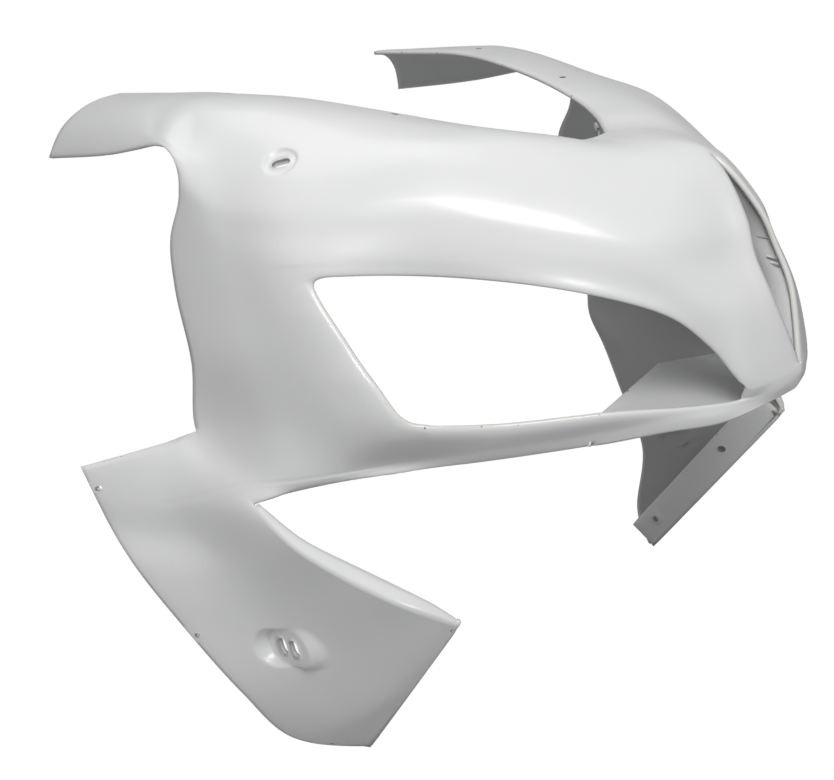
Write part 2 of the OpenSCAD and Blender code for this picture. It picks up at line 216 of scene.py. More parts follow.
def tab_surface(along, across):
    """Surface of the rear tab: stations 0 to 4 behind the rear edge, lines 0 to 3."""
    return loft([curve(line, 10 + along) for line in WHOLE_LINES[:4]], across)


def joined_on(tail, body_column):
    """Tail surface whose first column is the body's last: the gap fades out over JOIN_COLS.

    The share of the gap that is left falls as a cubic, level at both ends."""
    t = np.clip(np.arange(len(tail)) / JOIN_COLS, 0, 1)[:, None, None]
    rows = len(body_column)
    tail[:, :rows] += (body_column - tail[0, :rows]) * (1 - t) ** 2 * (1 + 2 * t)
    return tail


BODY_AT = spread(BODY_STEPS)
LINE_AT = spread(LINE_STEPS, GROOVE_ROWS)
TAB_AT = spread(TAB_STEPS)
ARM_AT = spread(ARM_STEPS)


def col_of(station):
    """Number of the column at a station."""
    return int(np.searchsorted(BODY_AT, station))


def row_of(line):
    """Number of the row on a feature line."""
    return int(np.searchsorted(LINE_AT, line))


REAR_COL = col_of(10)
FLOOR_COL = col_of(6)
WINDOW_FOOT_ROW = row_of(8)
BAND_ROW = row_of(10)
FOOT_ROW = BAND_ROW + sum(ARM_LINE_STEPS)
LAST_ROW = FOOT_ROW + FLANGE_STEPS
TAB_COL = REAR_COL + sum(TAB_STEPS)
ARM_COL = REAR_COL + sum(ARM_STEPS)
LAST_COL = max(TAB_COL, ARM_COL)


def half_grid():
    """Skin of one half as [column, row] points in mm, with the mask of its kept cells.

    Columns run from the centre plane to the rear edge and out to the arm and tab ends. Rows
    run from the windscreen edge down to the band edge, the arm's foot and its flange. The
    floor, the flange and the arm's turned edge are straight from their edge to their end."""
    body = body_surface(BODY_AT, LINE_AT)
    tab = joined_on(tab_surface(TAB_AT, LINE_AT[:row_of(3) + 1]), body[-1, :row_of(3) + 1])
    arm_rows = np.concatenate([LINE_AT[WINDOW_FOOT_ROW:] - 8, 2 + spread(ARM_LINE_STEPS)[1:]])
    arm = joined_on(arm_surface(ARM_AT, arm_rows), body[-1, WINDOW_FOOT_ROW:])

    grid = np.zeros((LAST_COL + 1, LAST_ROW + 1, 3))
    cell = np.zeros((LAST_COL, LAST_ROW), bool)
    grid[REAR_COL:ARM_COL + 1, WINDOW_FOOT_ROW:FOOT_ROW + 1] = arm
    cell[REAR_COL:ARM_COL, WINDOW_FOOT_ROW:FOOT_ROW] = True
    cell[REAR_COL + RELIEF:ARM_COL, FOOT_ROW:LAST_ROW] = True
    grid[REAR_COL + 1:TAB_COL + 1, :row_of(3) + 1] = tab[1:]
    cell[REAR_COL:TAB_COL, :row_of(3)] = True

    # Flange: 0.4 of its width at the front, and the whole of it FLANGE_TAPER behind
    rise = (np.arange(1, FLANGE_STEPS + 1) / FLANGE_STEPS)[None, :, None]
    along = np.linalg.norm(arm[:, -1] - arm[0, -1], axis=-1)[:, None, None]
    width = FLANGE_W * (0.4 + 0.6 * np.clip(along / FLANGE_TAPER, 0, 1))
    grid[REAR_COL:ARM_COL + 1, FOOT_ROW + 1:] = arm[:, -1:] + width * rise * FLANGE_WAY

    # Floor: straight back from the band edge to a rear edge that falls off outwards
    down = (np.arange(1, FLOOR_STEPS + 1) / FLOOR_STEPS)[None, :, None]
    edge = body[:FLOOR_COL + 1, -1]
    x, y, z = edge.T
    reach = np.minimum(y[0] + FLOOR_L + 0.07 * x, y + 3 + 2.2 * (x[-1] - x))
    end = np.stack([x, np.maximum(y + 2, reach), -0.21 * x], 1)
    end[:, 2] = np.where(x > 60, np.maximum(end[:, 2], z - 1), end[:, 2])
    floor_rows = slice(BAND_ROW + 1, BAND_ROW + 1 + FLOOR_STEPS)
    grid[:FLOOR_COL + 1, floor_rows] = edge[:, None] * (1 - down) + end[:, None] * down
    cell[:FLOOR_COL, BAND_ROW:BAND_ROW + FLOOR_STEPS] = True

    # Turned edge of the arm: widest below the middle of the edge, as a skewed sine
    front = arm[0, BAND_ROW - WINDOW_FOOT_ROW:]
    drop = (np.arange(len(front)) / (len(front) - 1))[:, None]
    turn = (1 - np.arange(TURN_STEPS) / TURN_STEPS)[:, None, None]
    reach = RETURN_W * (0.22 + 0.78 * np.sin(np.pi * drop ** 0.8))
    turned = front + turn * reach * RETURN_WAY
    turned_cols = slice(REAR_COL - TURN_STEPS, REAR_COL)
    grid[turned_cols, BAND_ROW + 1:FOOT_ROW + 1] = turned[:, 1:]
    cell[turned_cols, BAND_ROW + TURN_START:FOOT_ROW - TURN_END] = True

    # Body, less the headlight opening and the intake slot
    grid[:REAR_COL + 1, :BAND_ROW + 1] = body
    cell[:REAR_COL, :BAND_ROW] = True
    cell[col_of(3):col_of(8), row_of(6):row_of(8)] = False
    cell[:col_of(1), row_of(2):row_of(6)] = False
    number = cells_round(cell)
    for col, row in ((REAR_COL, row_of(3)), (col_of(8), row_of(8)), (col_of(8), row_of(6))):
        round_corner(grid, number, col, row)
    return grid, cell


def cells_round(cell):
    """How many kept cells touch each point: four inside the sheet, fewer on a free edge."""
    padded = np.pad(cell, 1).astype(float)
    return padded[1:, 1:] + padded[:-1, 1:] + padded[1:, :-1] + padded[:-1, :-1]


def round_corner(grid, number, col, row):
    """Round a corner of the sheet: points round it go halfway to the mean of their neighbours.

    A point on a free edge only heeds its neighbours on the free edge."""
    window = (slice(col - ROUND_REACH, col + ROUND_REACH + 1),
              slice(row - ROUND_REACH, row + ROUND_REACH + 1))
    kept, free = number > 0, (number > 0) & (number < 4)
    for _ in range(ROUNDS):
        total, count = np.zeros_like(grid), np.zeros_like(number)
        for step in ((-1, 0), (1, 0), (0, -1), (0, 1)):
            heeded = np.roll(kept, step, (0, 1)) & (np.roll(free, step, (0, 1)) | ~free)
            total += np.roll(grid, step, (0, 1)) * heeded[..., None]
            count += heeded
        halfway = (grid + total / np.maximum(count, 1)[..., None]) / 2
        moved = np.where((kept & (count > 0))[..., None], halfway, grid)
        grid[window] = moved[window]


def unit(vectors):
    """Vectors brought to length one."""
    return vectors / np.maximum(np.linalg.norm(vectors, axis=-1, keepdims=True), 1e-9)


def normals(skin, cell):
    """Mean normal of the kept cells round each point, and how many there are.

    A cell's normal is the cross product of its two diagonals, brought to length one."""
    normal = unit(np.cross(skin[1:, 1:] - skin[:-1, :-1], skin[1:, :-1] - skin[:-1, 1:]))
    padded = np.pad(normal * cell[..., None], ((1, 1), (1, 1), (0, 0)))
    total = padded[:-1, :-1] + padded[:-1, 1:] + padded[1:, :-1] + padded[1:, 1:]
    number = cells_round(cell)
    return total / np.maximum(number, 1)[..., None], number


def near_edge(number):
    """1 on a free edge, and a share of it at the next two points inwards."""
    free = ((number > 0) & (number < 4)).astype(float)
    share = free
    for fade in EDGE_FADES:
        padded = np.pad(share > 0, 1)
        touched = padded[2:, 1:-1] | padded[:-2, 1:-1] | padded[1:-1, 2:] | padded[1:-1, :-2]
        share = np.where((share == 0) & touched & (number > 0), fade, share)
    return share


def shape_details(skin, cell):
    """Roll the free edges in, and press the parting groove along the band crease."""
    mean, number = normals(skin, cell)
    depth = EDGE_ROLL * near_edge(number)
    station = np.concatenate([BODY_AT, 10 + ARM_AT[1:]])
    groove = np.interp(station, GROOVE_AT, GROOVE_DEPTH)
    both = np.zeros(skin.shape[0])
    both[LAST_COL:LAST_COL + len(groove)] = groove
    both[LAST_COL - len(groove) + 1:LAST_COL + 1] = groove[::-1]
    depth[:, row_of(9)] += both
    return skin - mean * depth[..., None]


def inner_skin(skin, cell):
    """Back of the wall: each point goes in along the mean normal of the kept cells round it.

    The mean is divided by its own squared length, so that a corner keeps its wall thickness,
    and a free edge, which has fewer than four cells, is as thick as the rolled edge. The
    flange is thinner, so that it stays clear of the arm's skin where it leaves it."""
    mean, number = normals(skin, cell)
    depth = np.where(number < 4, EDGE_T, WALL_T)[..., None]
    depth[:, FOOT_ROW + 1:] = FLANGE_T
    return skin - mean * depth / np.maximum((mean ** 2).sum(-1, keepdims=True), 0.15)


def outward(skin, cell, number):
    """Direction out of the sheet at each point: away from the mean middle of its kept cells."""
    middle = (skin[1:, 1:] + skin[:-1, :-1] + skin[1:, :-1] + skin[:-1, 1:]) / 4
    middle = middle * cell[..., None]
    padded = np.pad(middle, ((1, 1), (1, 1), (0, 0)))
    total = padded[1:, 1:] + padded[:-1, 1:] + padded[1:, :-1] + padded[:-1, :-1]
    return unit(skin - total / np.maximum(number, 1)[..., None])


def oval(angle, half_l, r):
    """Distance from the middle of an oval to its rim, at an angle from its short axis.

    The oval is a disc of radius r drawn out by half_l both ways: a ray leaves it through a
    straight flank, or through the round end."""
    c, s = np.abs(np.cos(angle)), np.abs(np.sin(angle))
    flank = r / np.maximum(c, 1e-6)
    end = half_l * s + np.sqrt(np.maximum(r * r - (half_l * c) ** 2, 0))
    return np.where(flank * s <= half_l, flank, end)


def seat_frame(axis):
    """Two directions across an axis, down the slope and level, and the axis at length one."""
    axis = unit(np.asarray(axis, float))
    turn = np.arctan2(axis[1], axis[0])
    level = np.array([-np.sin(turn), np.cos(turn), 0.0]) * (1 if axis[0] >= 0 else -1)
    return np.cross(level, axis), level, axis


def ring_faces(outer, inner):
    """Quads between two closed loops of point numbers."""
    return np.stack([inner, np.roll(inner, -1), np.roll(outer, -1), outer], 1)


class Parts:
    """Points, faces and marks of the shell, collected before they become a mesh.

    A point's two marks say how far it takes the inside's matte finish and its darker colour, which
    is painted shade, and how far it belongs to a free edge."""

    def __init__(self):
        self.points = []
        self.marks = []
        self.faces = []
        self.total = 0

    def add(self, points, mark):
        """Take in points with one mark, or one for each, and give their numbers."""
        start = self.total
        self.points.append(points)
        self.marks.append(np.broadcast_to(mark, (len(points), 2)).astype(float))
        self.total += len(points)
        return np.arange(start, self.total)


def hole_patch(parts, skin, back, ids, back_ids, block, at, axis, rings, wall, plate, shade_and_matte):
    """Rings of quads from the edge of a block of cells in to a hole, on both sides of the wall.

    The block's skin is fitted with a cubic height over the plane across the axis. Each ring
    is (half length, radius, extra radius to the front, share of the skin's height, level),
    and the points between the last ring and the block's edge follow the skin. The wall's
    depth along the axis passes into the depth of the sheet's own wall."""
    c0, c1, r0, r1 = block
    wide, high = c1 - c0, r1 - r0
    i = np.concatenate([np.arange(c0, c1), np.full(high, c1),
                        np.arange(c1, c0, -1), np.full(high, c0)])
    j = np.concatenate([np.full(wide, r0), np.arange(r0, r1),
                        np.full(wide, r1), np.arange(r1, r0, -1)])
    u, v, n = seat_frame(axis)
    patch = skin[c0:c1 + 1, r0:r1 + 1].reshape(-1, 3) - at

    def terms(x, y):
        return np.stack([x ** a * y ** b for a in range(4) for b in range(4 - a)], -1)

    fit = np.linalg.lstsq(terms(patch @ u / 10, patch @ v / 10), patch @ n, rcond=None)[0]
    edge = skin[i, j] - at
    ex, ey = edge @ u, edge @ v
    angle = np.arctan2(ey, ex)
    loops = []
    for half_l, r, front, share, level in rings:
        rho = oval(angle, half_l, r) + front * np.maximum(-np.sin(angle), 0) ** 1.5
        x, y = rho * np.cos(angle), rho * np.sin(angle)
        height = share * (terms(x / 10, y / 10) @ fit) + level
        loops.append(np.stack([x, y, height], 1))
    last = loops[-1]
    gap = edge @ n - terms(ex / 10, ey / 10) @ fit
    for s in PATCH_SHARES:
        x, y = last[:, 0] * (1 - s) + ex * s, last[:, 1] * (1 - s) + ey * s
        loops.append(np.stack([x, y, terms(x / 10, y / 10) @ fit + gap * s ** 2], 1))
    front_ids, rear_ids = [], []
    sign = 1 if skin_sign(skin, c0, r0, n) else -1
    for k, loop in enumerate(loops):
        s = max(0.0, (k - len(rings) + 1) / (len(PATCH_SHARES) + 1))
        place = at + loop[:, :1] * u + loop[:, 1:2] * v + loop[:, 2:] * n
        thick = (1 - s) * (-sign * n * wall) + s * (back[i, j] - skin[i, j])
        front_ids.append(parts.add(place, (0, 0)))
        # The back takes the wall's mark: the inner side's matte finish with its painted shade
        rear_ids.append(parts.add(place + thick, (shade_and_matte, 0)))
    front_ids.append(ids[i, j])
    rear_ids.append(back_ids[i, j])
    faces = []
    for k in range(len(front_ids) - 1):
        faces.append(ring_faces(front_ids[k + 1], front_ids[k]))
        faces.append(ring_faces(rear_ids[k + 1], rear_ids[k])[:, ::-1])
    if plate is None:
        faces.append(ring_faces(front_ids[0], rear_ids[0])[:, ::-1])
    else:
        faces += plate(parts, at, (u, v, n), loops[0], front_ids[0], rear_ids[0], sign * wall)
    faces = np.concatenate(faces)
    every = np.concatenate(parts.points)
    p, q, r, s = every[ring_faces(front_ids[1], front_ids[0])].transpose(1, 0, 2)
    if np.cross(r - p, s - q).sum(0) @ (sign * n) < 0:
        faces = faces[:, ::-1]
    parts.faces.append(faces)


def skin_sign(skin, c, r, n):
    """True where the skin's outward normal at a cell goes with the direction n."""
    normal = np.cross(skin[c + 1, r + 1] - skin[c, r], skin[c + 1, r] - skin[c, r + 1])
    return normal @ n > 0


def lamp_plate(parts, at, axes, loop, front_ids, rear_ids, wall):
    """Flat oval plate with two upright oval holes, filled as two halves that meet in the middle.

    Each half's outline passes in two straight steps into the rim of its own hole."""
    u, v, n = axes
    x, y, level = loop[:, 0], loop[:, 1], loop[0, 2]
    count = len(loop)
    a = int(np.argmin(np.abs(y) - 1000 * (x > 0)))
    b = int(np.argmin(np.abs(y) - 1000 * (x < 0)))
    share = (np.arange(1, SEAM_STEPS) / SEAM_STEPS)[:, None]
    seam = loop[a, :2] * (1 - share) + loop[b, :2] * share
    seam_place = at + seam[:, :1] * u + seam[:, 1:] * v + level * n
    seam_front = parts.add(seam_place, (0, 0))
    # The back of the plate, here and in the rings below, takes the full mark: the inner side's
    # matte finish with its deepest painted shade
    seam_rear = parts.add(seam_place - wall * n, (1, 0))
    faces = []
    for start, stop, order in ((a, b, -1), (b, a, 1)):
        walk = np.arange(start, start + (stop - start) % count + 1) % count
        outline = np.concatenate([loop[walk, :2], seam[::order]])
        front = np.concatenate([front_ids[walk], seam_front[::order]])
        rear = np.concatenate([rear_ids[walk], seam_rear[::order]])
        side = np.sign(outline[:len(walk), 1].mean())
        middle = np.array([0.0, side * LAMP_HOLE_OUT])
        away = outline - middle
        angle = np.arctan2(away[:, 0], away[:, 1])
        rim = middle + oval(angle, LAMP_HOLE_HALF_L, LAMP_HOLE_R)[:, None] * unit(away)
        last_front, last_rear = front, rear
        for s in (0.5, 1.0):
            ring = outline * (1 - s) + rim * s
            place = at + ring[:, :1] * u + ring[:, 1:] * v + level * n
            next_front = parts.add(place, (0, 0))
            next_rear = parts.add(place - wall * n, (1, 0))
            faces.append(ring_faces(last_front, next_front))
            faces.append(ring_faces(last_rear, next_rear)[:, ::-1])
            last_front, last_rear = next_front, next_rear
        faces.append(ring_faces(last_front, last_rear)[:, ::-1])
    return faces


def box_strip(parts, path, deep, thick, mark):
    """Closed strip: a four-sided section, deep one way and thick the other, along a path."""
    path = np.asarray(path, float)
    deep, thick = np.broadcast_to(deep, path.shape), np.broadcast_to(thick, path.shape)
    rows = [parts.add(p, mark) for p in (path, path + deep, path + deep + thick, path + thick)]
    faces = []
    for k in range(4):
        one, two = rows[k], rows[(k + 1) % 4]
        faces.append(np.stack([one[:-1], one[1:], two[1:], two[:-1]], 1))
    faces.append(np.array([[rows[3][0], rows[2][0], rows[1][0], rows[0][0]]]))
    faces.append(np.array([[rows[0][-1], rows[1][-1], rows[2][-1], rows[3][-1]]]))
    faces = np.concatenate(faces)
    if np.cross(path[1] - path[0], deep[0]) @ thick[0] > 0:
        faces = faces[:, ::-1]
    parts.faces.append(faces)


# Rings of the holes and seats, from the middle out. A ring gives half length, radius, extra
# radius to the front, share of the skin's height, and level.
SCREW_RINGS = [(0, 2.5, 0, 1, 0), (0, 4.4, 0, 1, 0)]
CLIP_RINGS = [(0, 1.9, 0, 1, 0), (0, 2.9, 0, 1, 0)]
OVAL_RINGS = [(1.2, 3.0, 0, 1, 0), (1.2, 5.0, 0, 1, 0)]
DISH_RINGS = [(0, 3.0, 0, 0, -1.4), (0, 6.2, 0, 0, -1.4), (0, 7.0, 0, 0.5, -0.6), (0, 7.6, 0, 1, 0)]
MIRROR_RINGS = [(3, 3.5, 0, 0, -2.1), (0, 10.6, 0, 0, -2.1), (0, 11.3, 0, 0.15, -1.8),
                (0, 12.2, 0, 0.85, -0.4), (0, 12.9, 0, 1, 0), (0, 15, 0, 1, 0)]
LAMP_RINGS = [(11, 14.0, 0, 0, -1.0), (11, 14.8, 0.5, 0.08, -0.9), (11, 16.0, 3.5, 0.7, -0.35),
              (11, 17.0, 6.0, 0.95, -0.05), (11, 18.2, 8.0, 1, 0)]

# Shares of the way from the last ring to the block's edge at which more points follow
PATCH_SHARES = (0.3, 0.65)

# The lamp seat's two upright oval holes, and steps of the seam between them
LAMP_HOLE_OUT = 7.25
LAMP_HOLE_HALF_L = 2.0
LAMP_HOLE_R = 5.0
SEAM_STEPS = 8

# Depth of the wall round the holes
SCREW_WALL = 4.0
MIRROR_WALL = 5.0
LAMP_WALL = 4.0
SMALL_WALL = 3.5

# Turned-in side of the intake slot: depth at its top and how much less at its foot, where it
# starts behind the edge, the way it goes, and its thickness
SLOT_DEPTH = 38.0
SLOT_DEPTH_LOSS = 14.0
SLOT_BEHIND = (0.6, 1.0, 0.0)
SLOT_WAY = (0.2, 0.97, 0.1)
SLOT_THICK = (2.2, 0.4, 0.0)

# Ribs in the slot: distance out, then height, start and length of each; how far the end
# stands out and up, width and thickness
RIB_OUT = 15.0
RIBS = ((103, 19, 9), (82, 15, 10), (67, 12, 8), (62.5, 11, 7))
RIB_END_OUT = 1.8
RIB_END_UP = 3.0
RIB_WIDE = (3.5, 0.0, 0.0)
RIB_THICK = (0.0, -0.4, 1.5)

# Screw lug at the windscreen edge: place, run along the edge, depth and thickness
LUG_AT = (34.0, 145.0, 179.5)
LUG_RUN = (8.0, 8.5, 4.5)
LUG_DEEP = (1.0, 1.5, -7.0)
LUG_THICK = (0.0, 3.0, 0.6)

# Places of the holes: stations and lines on the surfaces, or points of the flange
FRONT_SCREW_AT = (7.5, 1 / 3)
REAR_SCREW_AT = (10.0, 1 / 3)
MIRROR_AT = (8.15, 2.03)
MIRROR_AXIS = (0.516, -0.444, 0.732)
LAMP_AT = (1.16, 4.6)
CLIPS_AT = ((1.89, 0.62), (1.92, 4.2), (1.93, 6.5))
FLANGE_DISH = (201.5, 310.4, -217.7)
FLANGE_OVAL = (209.8, 221.5, -143.3)
SIDEWAYS = (1.0, 0.0, 0.0)


def on_surface(surface, place):
    """Point of a surface at a station and a line."""
    station, line = place
    return surface(np.array([station]), np.array([line]))[0, 0]


def holes():
    """Every hole of one half: place, axis (none: the skin's own), the cells in which its block
    has to lie, reach of the block, rings, depth of the wall, and what fills the middle."""
    body = (0, TAB_COL, 0, row_of(3))
    arm = (REAR_COL, ARM_COL, WINDOW_FOOT_ROW, FOOT_ROW)
    flange = (REAR_COL, ARM_COL, FOOT_ROW + 1, LAST_ROW)
    found = [(on_surface(body_surface, place), None, body, 2, SCREW_RINGS, SCREW_WALL, None)
             for place in (FRONT_SCREW_AT, REAR_SCREW_AT)]
    found.append((on_surface(body_surface, MIRROR_AT), MIRROR_AXIS, body, 5, MIRROR_RINGS,
                  MIRROR_WALL, None))
    found.append((on_surface(arm_surface, LAMP_AT), SIDEWAYS, arm, 9, LAMP_RINGS,
                  LAMP_WALL, lamp_plate))
    found.append((FLANGE_DISH, SIDEWAYS, flange, 3, DISH_RINGS, SMALL_WALL, None))
    found.append((FLANGE_OVAL, SIDEWAYS, flange, 3, OVAL_RINGS, SMALL_WALL, None))
    found += [(on_surface(arm_surface, place), SIDEWAYS, arm, 2, CLIP_RINGS, SMALL_WALL, None)
              for place in CLIPS_AT]
    return found


def block_round(half, at, limits, reach):
    """Block of cells that reaches as many cells as asked from the grid point nearest to at,
    cut off at the limits."""
    c0, c1, r0, r1 = limits
    gap = np.linalg.norm(half[c0:c1 + 1, r0:r1 + 1] - at, axis=-1)
    col, row = np.unravel_index(np.argmin(gap), gap.shape)
    low_c, low_r = max(c0, c0 + col - reach), max(r0, r0 + row - reach)
    high_c, high_r = min(c1, c0 + col + reach), min(r1, r0 + row + reach)
    return low_c, high_c, low_r, high_r


def shell_mesh(name):
    """Closed shell: the skin, its back, a bead across every free edge, and the holes."""
    half, half_cell = half_grid()
    flip = np.array([-1.0, 1.0, 1.0])
    cell = np.concatenate([half_cell[::-1], half_cell])
    skin = shape_details(np.concatenate([half[:0:-1] * flip, half]), cell)
    back = inner_skin(skin, cell)
    cols, rows = skin.shape[:2]
    row_number = np.arange(rows)[None, :]
    col_number = np.abs(np.arange(cols) - LAST_COL)[:, None]
    # First mark of the back: the inner side's matte finish with its painted shade, graded by row
    # and lighter on the floor plate
    inside = np.interp(row_number, [row_of(1), row_of(4), BAND_ROW, FOOT_ROW], INNER_MATTE_AND_SHADE)
    inside = np.where((row_number > BAND_ROW) & (col_number <= FLOOR_COL), FLOOR_MATTE_AND_SHADE, inside)
    number = cells_round(cell)
    free = ((number > 0) & (number < 4)).astype(float)
    # The mark drops on free edges, so the painted inner shade eases off where the edge shows its
    # own white
    inside = inside * (1 - 0.8 * free)

    parts = Parts()
    outer_marks = np.stack([0 * free, free], -1).reshape(-1, 2)
    inner_marks = np.stack([inside, free], -1).reshape(-1, 2)
    ids = parts.add(skin.reshape(-1, 3), outer_marks).reshape(cols, rows)
    back_ids = parts.add(back.reshape(-1, 3), inner_marks).reshape(cols, rows)
    bead = (skin + back) / 2 + RIM_BULGE * outward(skin, cell, number)
    parts.add(bead.reshape(-1, 3), (0.1, 1))

    drawn = cell.copy()
    for at, axis, limits, reach, rings, wall, plate in holes():
        at = np.asarray(at, float)
        c0, c1, r0, r1 = block_round(half, at, limits, reach)
        if axis is None:
            here = skin[LAST_COL + c0:LAST_COL + c1 + 1, r0:r1 + 1]
            axis = -np.cross(here[-1, 0] - here[0, -1], here[-1, -1] - here[0, 0])
            axis = axis if axis[2] > 0 else -axis
        for mirror in (False, True):
            lo, hi = (LAST_COL - c1, LAST_COL - c0) if mirror else (LAST_COL + c0, LAST_COL + c1)
            drawn[lo:hi, r0:r1] = False
            turned = flip if mirror else np.ones(3)
            hole_patch(parts, skin, back, ids, back_ids, (lo, hi, r0, r1), at * turned,
                       np.asarray(axis) * turned, rings, wall, plate, inside[lo, r0])

    corner = [ids[:-1, :-1], ids[1:, :-1], ids[1:, 1:], ids[:-1, 1:]]
    a, b, c, d = [numbers[drawn] for numbers in corner]
    total = back_ids[0, 0] - ids[0, 0]
    parts.faces.append(np.stack([a, d, c, b], 1))
    parts.faces.append(np.stack([a, b, c, d], 1) + total)
    kept = np.pad(cell, 1)
    a, b, c, d = corner
    for beside, start, end in [(kept[1:-1, :-2], a, b), (kept[1:-1, 2:], c, d),
                               (kept[:-2, 1:-1], d, a), (kept[2:, 1:-1], b, c)]:
        p, q = start[cell & ~beside], end[cell & ~beside]
        for low, high in ((0, 2 * total), (2 * total, total)):
            parts.faces.append(np.stack([p + low, q + low, q + high, p + high], 1))
    inner_details(parts, skin)

    points = np.concatenate(parts.points) * MM + CHIN
    marks = np.concatenate(parts.marks)
    used, faces = np.unique(np.concatenate(parts.faces), return_inverse=True)
    mesh = bpy.data.meshes.new(name)
    mesh.from_pydata(points[used], [], faces.reshape(-1, 4))
    for column, title in enumerate(("inside", "edge")):
        layer = mesh.attributes.new(title, "FLOAT", "POINT")
        layer.data.foreach_set("value", np.ascontiguousarray(marks[used, column]))
    mesh.update()
    mesh.validate()
    return mesh


def inner_details(parts, skin):
    """Turned-in sides of the intake slot, its small ribs, and the screen lugs.

    A side's depth falls off with the square of the way down the slot. Their first marks give the
    inner side's matte finish with painted shade: deep over the top of the slot's sides and lighter
    from halfway down, light on the ribs, full on the lugs."""
    for side in (1, -1):
        way = np.array([side, 1.0, 1.0])
        edge = skin[LAST_COL + side * col_of(1), row_of(2) + 1:row_of(6)]
        share = np.linspace(0, 1, len(edge))[:, None]
        depth = SLOT_DEPTH - SLOT_DEPTH_LOSS * share ** 2
        # Painted shade on the slot's turned-in sides: deep over the top third, easing to a light
        # shade from halfway down
        shade_and_matte = np.concatenate([0.85 - 0.55 * np.clip((share - 0.3) / 0.2, 0, 1), 0 * share], 1)
        box_strip(parts, edge + way * SLOT_BEHIND, depth * way * SLOT_WAY, way * SLOT_THICK, shade_and_matte)
        for z, y, length in RIBS:
            start = way * (RIB_OUT, y, z)
            end = start + way * (RIB_END_OUT, length, RIB_END_UP)
            # The ribs take a light painted shade
            box_strip(parts, [start, end], way * RIB_WIDE, way * RIB_THICK, (0.3, 0))
        lug = way * LUG_AT
        # The lugs take the full mark: the deepest painted shade, as they hang in shadow below the
        # windscreen edge
        box_strip(parts, [lug, lug + way * LUG_RUN], way * LUG_DEEP, way * LUG_THICK, (1, 0))


shell = bpy.data.objects.new("fairing_shell", shell_mesh("fairing_shell"))
bpy.context.scene.collection.objects.link(shell)
shell.data.polygons.foreach_set("use_smooth", np.ones(len(shell.data.polygons), bool))
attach(shell, "root")
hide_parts(NODE)


class Value:
    """A shader socket whose arithmetic adds Math nodes."""

    def __init__(self, tree, socket):
        self.tree = tree
        self.socket = socket

    def node(self, kind, settings=None, out=0, **values):
        """Any other node: its settings first, then its sockets' values or links."""
        made = self.tree.nodes.new(kind)
        for key, setting in (settings or {}).items():
            setattr(made, key, setting)
        for key, value in values.items():
            name = int(key[1:]) if key[0] == "_" else key.replace("_", " ")
            socket = made.inputs[name]
            if isinstance(value, Value):
                self.tree.links.new(value.socket, socket)
            else:
                socket.default_value = value
        return Value(self.tree, made.outputs[out])

    def math(self, operation, first, second):
        """One Math node on two numbers or sockets."""
        return self.node("ShaderNodeMath", {"operation": operation}, _0=first, _1=second)

    def __add__(self, other):
        return self.math("ADD", self, other)

    def __sub__(self, other):
        return self.math("SUBTRACT", self, other)

    def __rsub__(self, other):
        return self.math("SUBTRACT", other, self)

    def __mul__(self, other):
        return self.math("MULTIPLY", self, other)

    __radd__ = __add__
    __rmul__ = __mul__

    def ramp(self, low, high):
        """0 below low, 1 above high, and a straight rise between."""
        return self.node("ShaderNodeMapRange", {"clamp": True},
                         _0=self, _1=low, _2=high, _3=0.0, _4=1.0)

    def mix(self, low, high):
        """Colour between two others, by this factor."""
        return self.node("ShaderNodeMix", {"data_type": "RGBA"}, 2, _0=self, _6=low, _7=high)


def moulding_material():
    """Unpainted white moulding: soft gloss outside, matte inside, where a darker grey-green paints
    the interior's shade; mottled and scuffed.
    """
    material = bpy.data.materials.new("white_moulding")
    material.use_nodes = True
    tree = material.node_tree
    shader = tree.nodes["Principled BSDF"]
    place = Value(tree, tree.nodes.new("ShaderNodeTexCoord").outputs["Object"])
    inside = place.node("ShaderNodeAttribute", {"attribute_name": "inside"}, 2)
    edge = place.node("ShaderNodeAttribute", {"attribute_name": "edge"}, 2)

    def noise(scale, detail):
        return place.node("ShaderNodeTexNoise", None, 0, Vector=place, Scale=scale, Detail=detail)

    cloud = noise(7.0, 4.0)
    grain = noise(90.0, 3.0)
    chips = noise(240.0, 1.0).ramp(0.74, 0.76)
    rim = edge.ramp(0.6, 0.9)
    outer = cloud.ramp(0.3, 0.7).mix((0.755, 0.76, 0.76, 1), (0.80, 0.80, 0.80, 1))
    # Inner colour: a darker grey-green that paints the interior's shade, on the matte inner side
    inner = cloud.ramp(0.25, 0.75).mix((0.36, 0.375, 0.36, 1), (0.44, 0.45, 0.435, 1))
    # The inside mark blends in the painted inner shade
    colour = inside.ramp(0.12, 1.0).mix(outer, inner)
    colour = (rim * 0.5).mix(colour, (0.80, 0.79, 0.72, 1))
    colour = (rim * chips * 0.8).mix(colour, (0.09, 0.085, 0.08, 1))
    bump = place.node("ShaderNodeBump", None, 0, Strength=0.06, Distance=0.0006,
                      Height=grain * (0.35 + 0.65 * inside.ramp(0.5, 1.0)))
    tree.links.new(colour.socket, shader.inputs["Base Color"])
    tree.links.new((0.3 + 0.1 * cloud + 0.25 * inside).socket, shader.inputs["Roughness"])
    tree.links.new((0.3 - 0.28 * inside).socket, shader.inputs["Coat Weight"])
    tree.links.new(bump.socket, shader.inputs["Normal"])
    shader.inputs["Coat Roughness"].default_value = 0.14
    shader.inputs["IOR"].default_value = 1.45
    return material


shell.data.materials.append(moulding_material())

# Camera of the photograph: place in mm from the chin, axes, and lens in pixels of the frame
CAMERA_AT = np.array([-644.21, -377.37, 187.42])
CAMERA_RIGHT = Vector((0.70781, -0.66056, -0.25034))
CAMERA_UP = Vector((0.31591, -0.02097, 0.94856))
CAMERA_AHEAD = Vector((0.63183, 0.75048, -0.19384))
FOCAL_PX = 1100.0
FRAME_PX = 834.0
SENSOR = 36.0

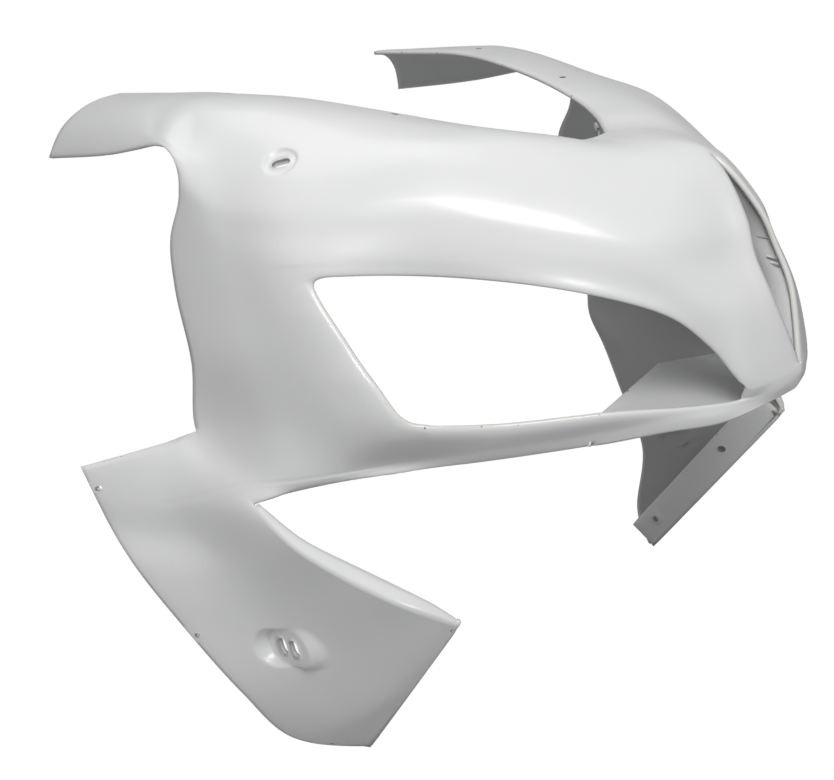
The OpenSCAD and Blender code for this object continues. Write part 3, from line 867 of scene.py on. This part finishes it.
camera_data = bpy.data.cameras.new("photo_camera")
camera_data.sensor_fit = "HORIZONTAL"
camera_data.sensor_width = SENSOR
camera_data.lens = SENSOR * FOCAL_PX / FRAME_PX
camera = bpy.data.objects.new("photo_camera", camera_data)
bpy.context.scene.collection.objects.link(camera)
turned_axes = Matrix((CAMERA_RIGHT, CAMERA_UP, -CAMERA_AHEAD)).transposed().to_4x4()
camera.matrix_world = Matrix.Translation(Vector(CAMERA_AT * MM + CHIN)) @ turned_axes
bpy.context.scene.camera = camera


def stage_material():
    """Pale floor that is nearly white to the camera and keeps a faint shadow."""
    material = bpy.data.materials.new("white_stage")
    material.use_nodes = True
    tree = material.node_tree
    shader = tree.nodes["Principled BSDF"]
    shader.inputs["Base Color"].default_value = (0.5, 0.5, 0.5, 1)
    shader.inputs["Roughness"].default_value = 0.9
    shader.inputs["Specular IOR Level"].default_value = 0.1
    glow = tree.nodes.new("ShaderNodeEmission")
    glow.inputs["Strength"].default_value = 1.07
    rays = tree.nodes.new("ShaderNodeLightPath")
    seen = Value(tree, rays.outputs["Is Camera Ray"]) * 0.93
    mix = tree.nodes.new("ShaderNodeMixShader")
    tree.links.new(seen.socket, mix.inputs[0])
    tree.links.new(shader.outputs[0], mix.inputs[1])
    tree.links.new(glow.outputs[0], mix.inputs[2])
    tree.links.new(mix.outputs[0], tree.nodes["Material Output"].inputs["Surface"])
    return material


def floor_plane():
    """Square floor, sizes in metres, a gap below the lowest corner."""
    mesh = bpy.data.meshes.new("floor")
    size = 6.0
    gap = 0.002
    z = cad_box[0][2] - gap
    mesh.from_pydata([(-size, -size, z), (size, -size, z), (size, size, z), (-size, size, z)], [],
                     [(0, 1, 2, 3)])
    mesh.materials.append(stage_material())
    floor = bpy.data.objects.new("floor", mesh)
    bpy.context.scene.collection.objects.link(floor)


floor_plane()


def studio_world():
    """Soft room light, brightest near the horizon, and plain white to the camera."""
    world = bpy.data.worlds.new("studio")
    bpy.context.scene.world = world
    world.use_nodes = True
    tree = world.node_tree
    background = tree.nodes["Background"]
    way = Value(tree, tree.nodes.new("ShaderNodeTexCoord").outputs["Generated"])
    height = way.node("ShaderNodeSeparateXYZ", None, 2, Vector=way)
    light = height.ramp(0.05, 0.8).mix((0.42, 0.42, 0.425, 1), (0.2, 0.2, 0.205, 1))
    tree.links.new(light.socket, background.inputs["Color"])
    background.inputs["Strength"].default_value = 1.0
    rays = tree.nodes.new("ShaderNodeLightPath")
    seen = tree.nodes.new("ShaderNodeBackground")
    seen.inputs["Color"].default_value = (1, 1, 1, 1)
    choose = tree.nodes.new("ShaderNodeMixShader")
    tree.links.new(rays.outputs["Is Camera Ray"], choose.inputs[0])
    tree.links.new(background.outputs[0], choose.inputs[1])
    tree.links.new(seen.outputs[0], choose.inputs[2])
    tree.links.new(choose.outputs[0], tree.nodes["World Output"].inputs[0])


studio_world()


def lamp(name, at, towards, size, power):
    """Soft square lamp at a place, turned to a point: size in metres, power in watts."""
    data = bpy.data.lights.new(name, "AREA")
    data.shape = "SQUARE"
    data.size = size
    data.energy = power
    made = bpy.data.objects.new(name, data)
    bpy.context.scene.collection.objects.link(made)
    made.location = at
    made.rotation_euler = (Vector(towards) - Vector(at)).to_track_quat("-Z", "Y").to_euler()


lamp("key_lamp", (-0.8, -1.05, 0.95), (-0.1, -0.05, 0.05), 0.6, 14)
lamp("top_lamp", (0.1, 0.1, 1.9), (0, 0, 0), 1.2, 8)

bpy.context.scene.view_settings.view_transform = "Standard"
